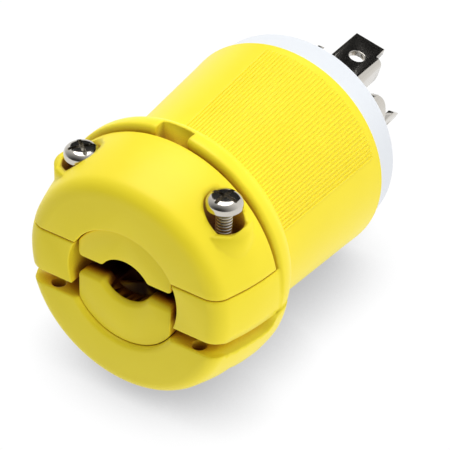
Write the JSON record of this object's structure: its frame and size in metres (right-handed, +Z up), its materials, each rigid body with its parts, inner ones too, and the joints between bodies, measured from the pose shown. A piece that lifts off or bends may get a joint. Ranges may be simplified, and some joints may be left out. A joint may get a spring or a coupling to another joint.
{
  "type": "locking power plug",
  "caption": "Cord-end locking power plug: yellow shell with a screwed cord clamp, white mating face and hooked blades.",
  "frame": {"origin": "centre of the flat mating face, which the blades pass through", "axes": "+Y along the plug's axis from the cord end to the blades, +Z up through the clamp cap, with the plug lying on its side, +X to the right seen from the cord end"},
  "size_m": [0.0598, 0.1026, 0.0619],
  "materials": {
    "yellow_nylon": "moulded nylon, satin",
    "white_nylon": "moulded nylon, satin",
    "black_nylon": "moulded nylon, matt",
    "nickel_plate": "bright nickel plate on steel",
    "plated_brass": "nickel plate on brass strip",
    "green_screw": "green coated steel",
    "brass_screw": "bright brass"
  },
  "bodies": {
    "root": {"shell": "yellow_nylon", "clamp_cap": "yellow_nylon", "upper_jaw": "yellow_nylon", "lower_jaw": "yellow_nylon", "clamp_screw_left": "nickel_plate", "clamp_screw_right": "nickel_plate", "clamp_nut_left": "nickel_plate", "clamp_nut_right": "nickel_plate", "mating_face": "white_nylon", "terminal_block": "black_nylon", "assembly_screws": "nickel_plate", "ground_blade": "plated_brass", "neutral_blade": "plated_brass", "line_blade_1": "plated_brass", "line_blade_2": "plated_brass", "ground_wire_clamp": "plated_brass", "neutral_wire_clamp": "plated_brass", "line_wire_clamp_1": "plated_brass", "line_wire_clamp_2": "plated_brass", "ground_terminal_screw": "green_screw", "neutral_terminal_screw": "nickel_plate", "line_terminal_screw_1": "brass_screw", "line_terminal_screw_2": "brass_screw"}
  },
  "joints": []
}
